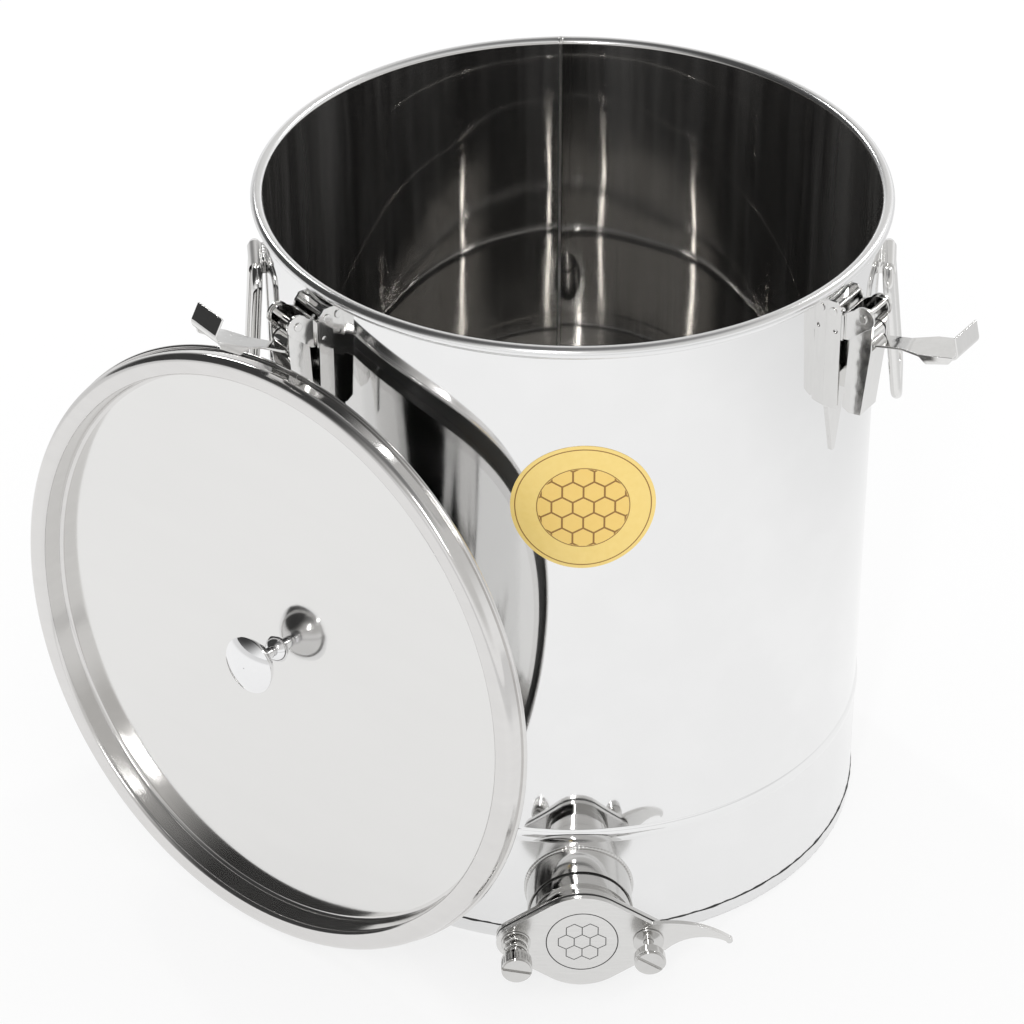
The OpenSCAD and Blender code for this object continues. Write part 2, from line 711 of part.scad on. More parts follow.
shell();
bottom_pan();
label();
outlet_collar();
gate_seal();
gate_body();
gate_gasket();
gate_flap();
pivot_screw();
pivot_washer();
pivot_spring();
clamp_screw();
clamp_washer();
at_left_latch() latch_base();  // latch_base_l
at_right_latch() latch_base();  // latch_base_r
at_left_latch() base_pin();  // base_pin_l
at_right_latch() base_pin();  // base_pin_r
at_left_latch() latch_yoke();  // latch_yoke_l
at_right_latch() latch_yoke();  // latch_yoke_r
at_left_latch() fulcrum_pin();  // fulcrum_pin_l
at_right_latch() fulcrum_pin();  // fulcrum_pin_r
at_left_latch() lever();  // lever_l
at_right_latch() lever();  // lever_r
at_left_latch() hook_pin();  // hook_pin_l
at_right_latch() hook_pin();  // hook_pin_r
at_left_latch() hook(hook_rest_l);  // hook_l
at_right_latch() hook(hook_rest_r);  // hook_r
at_left_handle() sleeve();  // handle_sleeve_l
at_right_handle() sleeve();  // handle_sleeve_r
at_left_handle() bail(bail_lean_l);  // handle_bail_l
at_right_handle() bail(bail_lean_r);  // handle_bail_r
lid_floor();
lid_rim();
lid_gasket();
lid_knob();
knob_screw();
knob_washer();
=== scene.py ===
"""Looks of the honey settling tank: steel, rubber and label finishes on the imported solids."""

import json
import math

import bmesh
import bpy
import numpy as np
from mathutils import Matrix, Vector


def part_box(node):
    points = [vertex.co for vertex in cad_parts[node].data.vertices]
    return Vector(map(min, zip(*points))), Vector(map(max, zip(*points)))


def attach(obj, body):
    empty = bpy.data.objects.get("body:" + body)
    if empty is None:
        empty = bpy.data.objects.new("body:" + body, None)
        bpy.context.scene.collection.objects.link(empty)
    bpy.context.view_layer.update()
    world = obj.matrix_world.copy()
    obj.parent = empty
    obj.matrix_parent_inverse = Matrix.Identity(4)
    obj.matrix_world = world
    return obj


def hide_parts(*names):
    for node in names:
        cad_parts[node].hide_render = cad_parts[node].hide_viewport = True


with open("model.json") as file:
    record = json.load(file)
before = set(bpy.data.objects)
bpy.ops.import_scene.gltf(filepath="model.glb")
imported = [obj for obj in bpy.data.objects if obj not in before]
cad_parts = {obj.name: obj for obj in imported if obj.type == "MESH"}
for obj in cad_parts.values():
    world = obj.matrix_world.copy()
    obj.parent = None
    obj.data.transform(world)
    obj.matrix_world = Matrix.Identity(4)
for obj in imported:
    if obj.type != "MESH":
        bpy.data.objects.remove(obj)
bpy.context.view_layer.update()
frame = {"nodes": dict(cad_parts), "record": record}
scene = bpy.context.scene
scene.view_settings.view_transform = "Standard"

# Sizes that the looks share with the solids, in metres

TANK_R = 0.190
TANK_H = 0.446
WALL_T = 0.001
RIM_R = 0.004
SEAM_Z = 0.01155
SWAGE_Z = 0.087
GATE_Z = 0.045
SCREW_X = 0.041
COLLAR_R = 0.033
FLAP_FRONT = 0.2415
LABEL_Z = 0.3335
LABEL_R = 0.043
HANDLE_AZ = {"l": math.radians(-86), "r": math.radians(83)}
HANDLE_Z = 0.403
SLEEVE_L = 0.028
LID_R = 0.2005
LID_H = 0.014
LID_LEAN = math.radians(4.6)
LID_AZ = math.radians(-40.5)
LID_SIDE = -0.049
LID_AWAY = 0.231143

# How finely the meshes are made

EDGE_R = 0.0003
FLAT_ANGLE = math.radians(0.5)
EDGE_ANGLE = math.radians(20)
SHARP_ANGLE = math.radians(32)
MERGE_DIGITS = 7
TURNED_COLUMNS = 480


# Node helpers


def put(tree, kind, inputs=None, **settings):
    """Adds a shader node, sets its settings, and links or sets each named input."""
    node = tree.nodes.new(kind)
    for name, value in settings.items():
        setattr(node, name, value)
    for name, value in (inputs or {}).items():
        if isinstance(value, bpy.types.NodeSocket):
            tree.links.new(value, node.inputs[name])
        else:
            node.inputs[name].default_value = value
    return node


def calc(tree, operation, first, second=0.0, third=0.0):
    """The result of one Math node."""
    node = put(tree, "ShaderNodeMath", {0: first, 1: second, 2: third}, operation=operation)
    return node.outputs[0]


def aim(tree, operation, first, second=(0, 0, 0)):
    """The vector that one Vector Math node gives."""
    node = put(tree, "ShaderNodeVectorMath", {0: first, 1: second}, operation=operation)
    return node.outputs[0]


def measure(tree, operation, first, second=(0, 0, 0)):
    """The number that one Vector Math node gives."""
    node = put(tree, "ShaderNodeVectorMath", {0: first, 1: second}, operation=operation)
    return node.outputs["Value"]


def parts_of(tree, vector):
    """The three numbers of a vector."""
    return put(tree, "ShaderNodeSeparateXYZ", {0: vector}).outputs


def vector_of(tree, x, y):
    """A flat vector made of two numbers."""
    return put(tree, "ShaderNodeCombineXYZ", {0: x, 1: y}).outputs[0]


def unrolled(tree, x, y, height):
    """A place on the wall laid flat: the angle from the gate times the tank's radius, and a height."""
    turn = calc(tree, "ARCTAN2", x, calc(tree, "MULTIPLY", y, -1.0))
    return vector_of(tree, calc(tree, "MULTIPLY", turn, TANK_R), height)


def fade(tree, value, low, high, start=0.0, end=1.0):
    """A value that goes smoothly from start to end while the input goes from low to high."""
    inputs = {"Value": value, "From Min": low, "From Max": high, "To Min": start, "To Max": end}
    return put(tree, "ShaderNodeMapRange", inputs, interpolation_type="SMOOTHSTEP").outputs[0]


def blend_colour(tree, amount, first, second):
    """A mix of two colours, each a socket or a plain colour."""
    node = put(tree, "ShaderNodeMix", data_type="RGBA")
    slots = [s for s in node.inputs if s.type == "RGBA"]
    for slot, value in zip(slots, (first, second)):
        if isinstance(value, bpy.types.NodeSocket):
            tree.links.new(value, slot)
        else:
            slot.default_value = (*value, 1)
    tree.links.new(amount, node.inputs["Factor"])
    return [s for s in node.outputs if s.type == "RGBA"][0]


def noise(tree, vector, scale, detail, roughness=0.5):
    """The value of one Noise Texture node, from nothing to one."""
    inputs = {"Vector": vector, "Scale": scale, "Detail": detail, "Roughness": roughness}
    return put(tree, "ShaderNodeTexNoise", inputs).outputs["Fac"]


def bump(tree, height, depth, over=None):
    """A normal that follows a height of the given depth, on top of another normal if there is one."""
    inputs = {"Height": height, "Distance": depth, "Strength": 1.0}
    if over is not None:
        inputs["Normal"] = over
    return put(tree, "ShaderNodeBump", inputs).outputs[0]


def new_group(name, inputs, outputs):
    """An empty shader node group; inputs and outputs map a name to a socket kind."""
    tree = bpy.data.node_groups.new(name, "ShaderNodeTree")
    for label, kind in inputs.items():
        tree.interface.new_socket(label, in_out="INPUT", socket_type="NodeSocket" + kind)
    for label, kind in outputs.items():
        tree.interface.new_socket(label, in_out="OUTPUT", socket_type="NodeSocket" + kind)
    return tree, tree.nodes.new("NodeGroupInput").outputs, tree.nodes.new("NodeGroupOutput").inputs


def use(tree, group, **inputs):
    """Places a shared group in a material and returns its outputs."""
    return put(tree, "ShaderNodeGroup", inputs, node_tree=group).outputs


def new_material(name):
    """A bare node material; returns it with its tree, its Principled shader and Object coordinates."""
    material = bpy.data.materials.new(name)
    material.use_nodes = True
    tree = material.node_tree
    coords = put(tree, "ShaderNodeTexCoord").outputs["Object"]
    return material, tree, tree.nodes["Principled BSDF"].inputs, coords


# Shared effects


def make_sheet_waves():
    """Slow dents of thin rolled sheet: two octaves of broad noise as a height."""
    tree, given, result = new_group(
        "sheet_waves", {"Vector": "Vector", "Scale": "Float"}, {"Height": "Float"})
    tree.links.new(noise(tree, given["Vector"], given["Scale"], detail=1.0), result["Height"])
    return tree


def make_polish_lines():
    """Fine lines left by polishing: noise drawn out along one direction by the Stretch vector. Smudge is a
    cloudy value that the stretch leaves alone."""
    smudge_scale = 22.0
    tree, given, result = new_group(
        "polish_lines", {"Vector": "Vector", "Stretch": "Vector"}, {"Lines": "Float", "Smudge": "Float"})
    drawn = aim(tree, "MULTIPLY", given["Vector"], given["Stretch"])
    tree.links.new(noise(tree, drawn, 1.0, detail=4.0, roughness=0.65), result["Lines"])
    smudge = noise(tree, given["Vector"], smudge_scale, detail=3.0)
    tree.links.new(fade(tree, smudge, 0.4, 0.7), result["Smudge"])
    return tree


def make_honeycomb():
    """Cell walls of a honeycomb: on two shifted grids, the distance to the nearer cell middle,
    measured across the flats of a hexagon, is high along the walls. Cell is the width of a cell across its
    flats, and Line is half the width of a wall as a share of it."""
    tree, given, result = new_group(
        "honeycomb", {"Vector": "Vector", "Cell": "Float", "Line": "Float"}, {"Wall": "Float"})
    grid = (1.0, math.sqrt(3), 1.0)
    half = (0.5, math.sqrt(3) / 2, 0.0)
    cells_away = 100
    cells = calc(tree, "DIVIDE", 1.0, given["Cell"])
    place = put(tree, "ShaderNodeVectorMath", {0: given["Vector"], "Scale": cells}, operation="SCALE")
    far = aim(tree, "ADD", place.outputs[0], (cells_away * grid[0], cells_away * grid[1], 0))
    first = aim(tree, "SUBTRACT", aim(tree, "MODULO", far, grid), half)
    second = aim(tree, "SUBTRACT", aim(tree, "MODULO", aim(tree, "SUBTRACT", far, half), grid), half)
    walls = []
    for cell in (first, second):
        across, along, _ = parts_of(tree, aim(tree, "ABSOLUTE", cell))
        slant = calc(tree, "MULTIPLY_ADD", along, half[1], calc(tree, "MULTIPLY", across, half[0]))
        walls.append(calc(tree, "MAXIMUM", across, slant))
    nearest = calc(tree, "MINIMUM", *walls)
    edge = calc(tree, "SUBTRACT", half[0], given["Line"])
    tree.links.new(calc(tree, "GREATER_THAN", nearest, edge), result["Wall"])
    return tree


sheet_waves = make_sheet_waves()
polish_lines = make_polish_lines()
honeycomb = make_honeycomb()


# Finishes


def steel(name, colour, roughness, stretch, waves=12.0, dent=0.0001, tone=0.05):
    """Bright sheet: drawn-out polish lines vary the tone and the gloss, and slow dents bend what it mirrors.
    The roughness is about the mean of what lines and smudges make of it, and dent is in metres."""
    line_depth = 0.000004
    least, lines_add, smudge_adds = 0.6 * roughness, 0.6 * roughness, 0.35 * roughness
    material, tree, shader, coords = new_material(name)
    marks = use(tree, polish_lines, Vector=coords, Stretch=stretch)
    height = use(tree, sheet_waves, Vector=coords, Scale=waves)["Height"]
    dark = tuple(c * (1 - tone) for c in colour)
    light = tuple(min(1.0, c * (1 + tone)) for c in colour)
    tree.links.new(blend_colour(tree, marks["Lines"], dark, light), shader["Base Color"])
    rough = calc(tree, "MULTIPLY_ADD", marks["Lines"], lines_add, least)
    rough = calc(tree, "MULTIPLY_ADD", marks["Smudge"], smudge_adds, rough)
    tree.links.new(rough, shader["Roughness"])
    shader["Metallic"].default_value = 1
    dented = bump(tree, height, dent)
    tree.links.new(bump(tree, marks["Lines"], line_depth, dented), shader["Normal"])
    return material


def wall_steel():
    """The wall: mirror bright outside and duller under the swaged ring and on the rim; inside, a darker
    colour of painted shade, made partly diffuse in upright bands of painted reflection and at a paler painted
    reflection of the ring; and with an upright welded seam at the back. The zones come from the radius, the
    height and the angle round the axis."""
    clear, smudged = (0.845, 0.845, 0.845), (0.86, 0.86, 0.86)
    # Painted shade: the inside is the same steel, given a darker colour that stands in for the dark deep in
    # the tank.
    inner_painted_shade_dark, inner_painted_shade_pale = (0.50, 0.49, 0.475), (0.62, 0.61, 0.595)
    heat_tint, heat_share = (0.42, 0.40, 0.38), 0.25
    seam_tint, seam_share = (0.55, 0.54, 0.52), 0.6
    outer_least, smudge_adds, low_adds, rim_adds = 0.045, 0.025, 0.10, 0.16
    inner_least, lines_add, seam_adds = 0.01, 0.05, 0.25
    # Painted light: the inside is made partly diffuse to stand in for light bounced round the tank. It is
    # more diffuse in upright bands of painted reflection, and at a ring over the swage that is a painted
    # reflection of it.
    least_painted_bounce, most_painted_bounce, painted_ring_reflection = 0.02, 0.10, 0.12
    wall_zone = (TANK_R - 0.7 * WALL_T, TANK_R - 0.3 * WALL_T)
    rim_zone = (TANK_H - 0.0092, TANK_H - 0.0084)
    low_zone = (SWAGE_Z - 0.006, SWAGE_Z - 0.002)
    bead_zone, heat_zone = (0.0006, 0.0016), (0.001, 0.009)
    ring_z, ring_zone = SWAGE_Z + 0.003, (0.001, 0.005)
    band_zone = (0.40, 0.66)
    dent, bead_height = 0.0005, 0.0003
    material, tree, shader, coords = new_material("wall_steel")
    x, y, z = parts_of(tree, coords)
    around = unrolled(tree, x, y, z)
    radius = measure(tree, "LENGTH", vector_of(tree, x, y))
    inside = fade(tree, radius, *wall_zone, 1.0, 0.0)
    rim = fade(tree, z, *rim_zone)
    below = fade(tree, z, *low_zone, 1.0, 0.0)
    behind = calc(tree, "GREATER_THAN", y, 0.0)
    off_seam = calc(tree, "ABSOLUTE", x)
    seam = calc(tree, "MULTIPLY", fade(tree, off_seam, *bead_zone, 1.0, 0.0), behind)
    heat = calc(tree, "MULTIPLY", fade(tree, off_seam, *heat_zone, 1.0, 0.0), behind)
    marks = use(tree, polish_lines, Vector=around, Stretch=(700.0, 5.0, 1.0))
    # Upright bands of painted reflection round the inside.
    painted_reflection_bands = use(tree, polish_lines, Vector=around, Stretch=(22.0, 1.2, 1.0))["Lines"]
    outer = blend_colour(tree, marks["Smudge"], clear, smudged)
    # The inside's painted shade, varied by the polish lines.
    inner = blend_colour(tree, marks["Lines"], inner_painted_shade_dark, inner_painted_shade_pale)
    colour = blend_colour(tree, inside, outer, inner)
    colour = blend_colour(tree, calc(tree, "MULTIPLY", heat, heat_share), colour, heat_tint)
    colour = blend_colour(tree, calc(tree, "MULTIPLY", seam, seam_share), colour, seam_tint)
    tree.links.new(colour, shader["Base Color"])
    rough_outside = calc(tree, "MULTIPLY_ADD", marks["Smudge"], smudge_adds, outer_least)
    rough_outside = calc(tree, "MULTIPLY_ADD", below, low_adds, rough_outside)
    rough_outside = calc(tree, "MULTIPLY_ADD", rim, rim_adds, rough_outside)
    rough_inside = calc(tree, "MULTIPLY_ADD", marks["Lines"], lines_add, inner_least)
    change = calc(tree, "SUBTRACT", rough_inside, rough_outside)
    rough = calc(tree, "MULTIPLY_ADD", inside, change, rough_outside)
    tree.links.new(calc(tree, "MULTIPLY_ADD", seam, seam_adds, rough), shader["Roughness"])
    # Painted light: less metal and more diffuse colour inside, in bands and at the ring, stands in for
    # bounced light and reflections.
    off_ring = calc(tree, "ABSOLUTE", calc(tree, "SUBTRACT", z, ring_z))
    painted_bounce_light = calc(tree, "ADD", fade(tree, painted_reflection_bands, *band_zone, least_painted_bounce, most_painted_bounce),
                fade(tree, off_ring, *ring_zone, painted_ring_reflection, 0.0))
    tree.links.new(calc(tree, "SUBTRACT", 1.0, calc(tree, "MULTIPLY", painted_bounce_light, inside)), shader["Metallic"])
    dented = bump(tree, use(tree, sheet_waves, Vector=around, Scale=9.0)["Height"], dent)
    tree.links.new(bump(tree, seam, bead_height, dented), shader["Normal"])
    return material


def rubber(name):
    """Black seal rubber: a fine grain in the gloss and the height, with a little grey bloom."""
    black, grey = (0.010, 0.010, 0.010), (0.030, 0.030, 0.029)
    smoothest, roughest = 0.38, 0.6
    grain_depth = 0.00005
    material, tree, shader, coords = new_material(name)
    grain = noise(tree, coords, 900.0, detail=3.0)
    bloom = noise(tree, coords, 30.0, detail=2.0)
    tree.links.new(blend_colour(tree, bloom, black, grey), shader["Base Color"])
    tree.links.new(fade(tree, grain, 0.2, 0.8, smoothest, roughest), shader["Roughness"])
    tree.links.new(bump(tree, grain, grain_depth), shader["Normal"])
    return material


def label_film():
    """Printed gold film: a thin brown ring near the edge and a ringed patch of honeycomb, on places unrolled
    round the wall and measured from the middle of the label."""
    gold, pale_gold = (0.90, 0.66, 0.20), (0.96, 0.73, 0.26)
    honey, honey_share = (0.88, 0.52, 0.10), 0.35
    brown, ink_depth = (0.30, 0.15, 0.03), 0.00002
    ring_r, ring_half = LABEL_R - 0.0025, 0.00035
    inner_ring_r, inner_ring_half = 0.0275, 0.0003
    patch_r, patch_blur = 0.027, 0.0002
    smoothest, roughest = 0.28, 0.4
    material, tree, shader, coords = new_material("label_film")
    x, y, z = parts_of(tree, coords)
    place = unrolled(tree, x, y, calc(tree, "SUBTRACT", z, LABEL_Z))
    reach = measure(tree, "LENGTH", place)
    cells = use(tree, honeycomb, Vector=place, Cell=0.0125, Line=0.045)["Wall"]
    patch = fade(tree, reach, patch_r - patch_blur, patch_r + patch_blur, 1.0, 0.0)
    ring = calc(tree, "COMPARE", reach, ring_r, ring_half)
    inner_ring = calc(tree, "COMPARE", reach, inner_ring_r, inner_ring_half)
    rings = calc(tree, "MAXIMUM", ring, inner_ring)
    ink = calc(tree, "MAXIMUM", calc(tree, "MULTIPLY", cells, patch), rings)
    fleck = noise(tree, coords, 260.0, detail=3.0)
    film = blend_colour(tree, fleck, gold, pale_gold)
    warm = blend_colour(tree, calc(tree, "MULTIPLY", patch, honey_share), film, honey)
    tree.links.new(blend_colour(tree, ink, warm, brown), shader["Base Color"])
    tree.links.new(fade(tree, fleck, 0.3, 0.7, smoothest, roughest), shader["Roughness"])
    tree.links.new(bump(tree, ink, ink_depth), shader["Normal"])
    return material


def flap_steel():
    """Satin flap with a plain etched patch of honeycomb inside its ring."""
    dark, light, etch = (0.66, 0.655, 0.645), (0.78, 0.775, 0.765), (0.10, 0.10, 0.10)
    patch_r, ring_r, ring_half = 0.0152, 0.02215, 0.00035
    front_margin = 0.0004
    least_rough, lines_add, etch_adds = 0.16, 0.10, 0.3
    line_depth = 0.000006
    material, tree, shader, coords = new_material("flap_steel")
    x, y, z = parts_of(tree, coords)
    place = vector_of(tree, x, calc(tree, "SUBTRACT", z, GATE_Z))
    reach = measure(tree, "LENGTH", place)
    cells = use(tree, honeycomb, Vector=place, Cell=0.0098, Line=0.03)["Wall"]
    front = calc(tree, "LESS_THAN", y, front_margin - FLAP_FRONT)
    patch = calc(tree, "MULTIPLY", calc(tree, "LESS_THAN", reach, patch_r), front)
    ring = calc(tree, "MULTIPLY", calc(tree, "COMPARE", reach, ring_r, ring_half), front)
    etched = calc(tree, "MAXIMUM", calc(tree, "MULTIPLY", cells, patch), ring)
    lines = use(tree, polish_lines, Vector=coords, Stretch=(90.0, 90.0, 1400.0))["Lines"]
    metal = blend_colour(tree, lines, dark, light)
    tree.links.new(blend_colour(tree, etched, metal, etch), shader["Base Color"])
    rough = calc(tree, "MULTIPLY_ADD", lines, lines_add, least_rough)
    tree.links.new(calc(tree, "MULTIPLY_ADD", etched, etch_adds, rough), shader["Roughness"])
    shader["Metallic"].default_value = 1
    tree.links.new(bump(tree, lines, line_depth), shader["Normal"])
    return material


PALE_STEEL = (0.78, 0.775, 0.765)
finishes = {
    "wall": wall_steel(),
    "pan": steel("pan_sheet", (0.80, 0.80, 0.80), 0.10, (40.0, 40.0, 900.0), dent=0.0002),
    "lid": steel("lid_sheet", (0.785, 0.78, 0.77), 0.10, (9.0, 9.0, 60.0), waves=5.0, dent=0.0002,
                 tone=0.015),
    "crown": steel("crown_sheet", (0.72, 0.71, 0.70), 0.13, (30.0, 30.0, 160.0), waves=14.0, dent=0.0003),
    "gate": steel("gate_casting", (0.64, 0.635, 0.625), 0.10, (60.0, 900.0, 60.0), waves=70.0, dent=0.00008,
                  tone=0.08),
    "flap": flap_steel(),
    "latch": steel("latch_sheet", PALE_STEEL, 0.07, (300.0, 300.0, 60.0), waves=90.0, dent=0.00012),
    "rod": steel("bright_rod", PALE_STEEL, 0.07, (500.0, 60.0, 500.0), waves=60.0, dent=0.00006),
    "wire": steel("bright_wire", (0.66, 0.655, 0.64), 0.20, (900.0, 900.0, 900.0), tone=0.10),
    "chrome": steel("polished_knob", (0.86, 0.86, 0.865), 0.04, (300.0, 300.0, 300.0), tone=0.02),
    "rubber": rubber("seal_rubber"),
    "label": label_film(),
}
finish_of_slot = {"polished_steel": "wall", "gate_steel": "gate", "latch_steel": "latch",
                  "handle_steel": "rod", "spring_wire": "wire", "knob_chrome": "chrome", "rubber": "rubber",
                  "label": "label"}
finish_of_node = {"bottom_pan": "pan", "outlet_collar": "gate", "lid_floor": "lid", "lid_rim": "crown",
                  "gate_flap": "flap"}
slot_of_node = {part["node"]: part["material_slot"] for part in frame["record"]["subparts"]}
bodies = frame["record"]["behaviour"]["bodies"]
body_of_node = {name: body for body, names in bodies.items() for name in names}


def finish(name):
    """The finish of a solid, by its own name or else by its material slot."""
    return finishes[finish_of_node.get(name) or finish_of_slot[slot_of_node[name]]]


for name, solid in frame["nodes"].items():
    solid.data.materials.clear()
    solid.data.materials.append(finish(name))


# Pieces


def add_piece(name, verts, faces, material, body):
    """Links a mesh at the origin, smooth, and lets it ride on a body."""
    mesh = bpy.data.meshes.new(name)
    mesh.from_pydata(verts, [], faces)
    mesh.shade_smooth()
    mesh.materials.append(material)
    piece = bpy.data.objects.new(name, mesh)
    scene.collection.objects.link(piece)
    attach(piece, body)
    return piece


def rounded_copy(name):
    """The same solid with its triangles joined, its flat faces whole and its edges rounded."""
    source = frame["nodes"][name].data
    points = np.empty(len(source.vertices) * 3)
    source.vertices.foreach_get("co", points)
    corners = np.empty(len(source.loops), int)
    source.loops.foreach_get("vertex_index", corners)
    points = np.round(points.reshape(-1, 3), MERGE_DIGITS)
    whole, place = np.unique(points, axis=0, return_inverse=True)
    triangles = place.reshape(-1)[corners].reshape(-1, 3)
    triangles = triangles[(triangles != np.roll(triangles, 1, axis=1)).all(1)]
    piece = add_piece(name + "_rounded", whole.tolist(), triangles.tolist(), finish(name),
                      body_of_node[name])
    work = bmesh.new()
    work.from_mesh(piece.data)
    bmesh.ops.dissolve_limit(work, angle_limit=FLAT_ANGLE, verts=work.verts, edges=work.edges)
    work.to_mesh(piece.data)
    work.free()
    piece.data.validate()
    piece.data.shade_smooth()
    bevel = piece.modifiers.new("edges", "BEVEL")
    bevel.width = EDGE_R
    bevel.segments = 2
    bevel.limit_method = "ANGLE"
    bevel.angle_limit = EDGE_ANGLE
    flat = piece.modifiers.new("flat_faces", "WEIGHTED_NORMAL")
    flat.weight = 100
    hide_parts(name)


for side in "lr":
    for part in ("latch_base", "latch_yoke", "lever", "hook", "base_pin", "fulcrum_pin"):
        rounded_copy(f"{part}_{side}")
for part in ("gate_body", "gate_flap", "pivot_screw", "clamp_screw", "pivot_washer", "clamp_washer"):
    rounded_copy(part)


def grid_faces(rows, columns, close_rows=False):
    """Quads of a rows by columns grid of points, whose columns run right round."""
    r = np.arange(rows if close_rows else rows - 1)[:, None]
    c = np.arange(columns)[None, :]
    down, right = (r + 1) % rows, (c + 1) % columns
    quads = np.stack([r * columns + c, down * columns + c, down * columns + right, r * columns + right], -1)
    return quads.reshape(-1, 4).tolist()


def tube(path, radius, sides, closed=False):
    """Points of a round tube: at each path point a circle of the given radius stands across the path."""
    step = np.roll(path, -1, 0) - np.roll(path, 1, 0) if closed else np.gradient(path, axis=0)
    along = step / np.linalg.norm(step, axis=1)[:, None]
    steep = np.abs(along[:, 2:3]) > 0.9
    up = np.where(steep, [[1.0, 0, 0]], [[0, 0, 1.0]])
    across = np.cross(up, along)
    across /= np.linalg.norm(across, axis=1)[:, None]
    normal = np.cross(along, across)
    angle = np.linspace(0, 2 * np.pi, sides, endpoint=False)[None, :, None]
    reach = np.broadcast_to(radius, (len(path),))[:, None, None]
    ring = np.cos(angle) * across[:, None] + np.sin(angle) * normal[:, None]
    return (path[:, None] + reach * ring).reshape(-1, 3)


def line(first, last, steps=1):
    """Evenly spaced points from one end of a straight line to the other."""
    return np.linspace(first, last, steps + 1)


def arc(middle, radius, start, end, steps):
    """Points of a circle from one angle in degrees to another."""
    angle = np.radians(np.linspace(start, end, steps + 1))
    return np.asarray(middle) + radius * np.stack([np.cos(angle), np.sin(angle)], -1)


def about_axis(radius, turn, height):
    """Points round the tank's axis: radius times the sine of the angle from the gate, minus radius times its
    cosine, and the height."""
    x, y, z = np.broadcast_arrays(radius * np.sin(turn), -radius * np.cos(turn), height)
    return np.stack([x, y, z], -1)


def turned(profile):
    """A closed profile of radius and height turned about the Z axis. Repeated points are left out, and the
    profile is made to run clockwise so that the faces look outwards."""
    same_place = 1e-7
    profile = profile[np.linalg.norm(profile - np.roll(profile, 1, 0), axis=1) > same_place]
    r, z = profile.T
    if np.sum(r * np.roll(z, -1) - np.roll(r, -1) * z) > 0:
        r, z = r[::-1], z[::-1]
    turn = np.linspace(0, 2 * np.pi, TURNED_COLUMNS, endpoint=False)[None, :]
    points = about_axis(r[:, None], turn, z[:, None])
    return points.reshape(-1, 3), np.asarray(grid_faces(len(r), TURNED_COLUMNS, True))


def add_turned(name, points, faces):
    """A turned sheet in place of the solid of that name, with its true corners kept sharp."""
    piece = add_piece("turned_" + name, points.tolist(), faces.tolist(), finish(name), body_of_node[name])
    piece.data.set_sharp_from_angle(angle=SHARP_ANGLE)
    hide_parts(name)
    return piece


def smooth_shell():
    """The wall as one turned sheet: up the inside, over the rolled rim, down the outside and into the joggle.
    The faces inside the pipe stub are left out."""
    wall_in = TANK_R - WALL_T
    swage_r, swage_out = 0.0110167, 0.0012
    swage_half_in, swage_half_out, flank = 0.00475, 0.005, 0.0055
    near, far = 0.010, 0.020
    joggle, ledge, foot = 0.1876, 0.0121, 0.0034
    curl, under_rim = -112, 0.002
    swage = (TANK_R + swage_out - swage_r, SWAGE_Z)
    low = math.degrees(math.asin(swage_half_in / (swage_r - WALL_T)))
    high = math.degrees(math.asin(swage_half_out / swage_r))
    rim = (wall_in + RIM_R, TANK_H - RIM_R)
    profile = np.concatenate([
        line((joggle, foot), (joggle, ledge + WALL_T), 4),
        line((wall_in, ledge + WALL_T), (wall_in, SWAGE_Z - flank), 28),
        arc(swage, swage_r - WALL_T, -low, low, 12),
        line((wall_in, SWAGE_Z + flank), (wall_in, SWAGE_Z + near), 3),
        line((wall_in, SWAGE_Z + far), rim - np.array([RIM_R, 0.0]), 12),
        arc(rim, RIM_R, 180, curl, 36),
        arc(rim, RIM_R - WALL_T, curl, 180, 20),
        line((TANK_R, rim[1] - under_rim), (TANK_R, SWAGE_Z + far), 12),
        line((TANK_R, SWAGE_Z + near), (TANK_R, SWAGE_Z + flank), 3),
        arc(swage, swage_r, high, -high, 14),
        line((TANK_R, SWAGE_Z - flank), (TANK_R, ledge), 28),
        line((joggle + WALL_T, ledge), (joggle + WALL_T, foot), 4),
    ])
    points, faces = turned(profile)
    stub_in = COLLAR_R - 0.002
    off_axis = np.hypot(points[:, 0], points[:, 2] - GATE_Z)
    in_stub = (off_axis < stub_in) & (points[:, 1] < 0)
    add_turned("shell", points, faces[~in_stub[faces].all(1)])


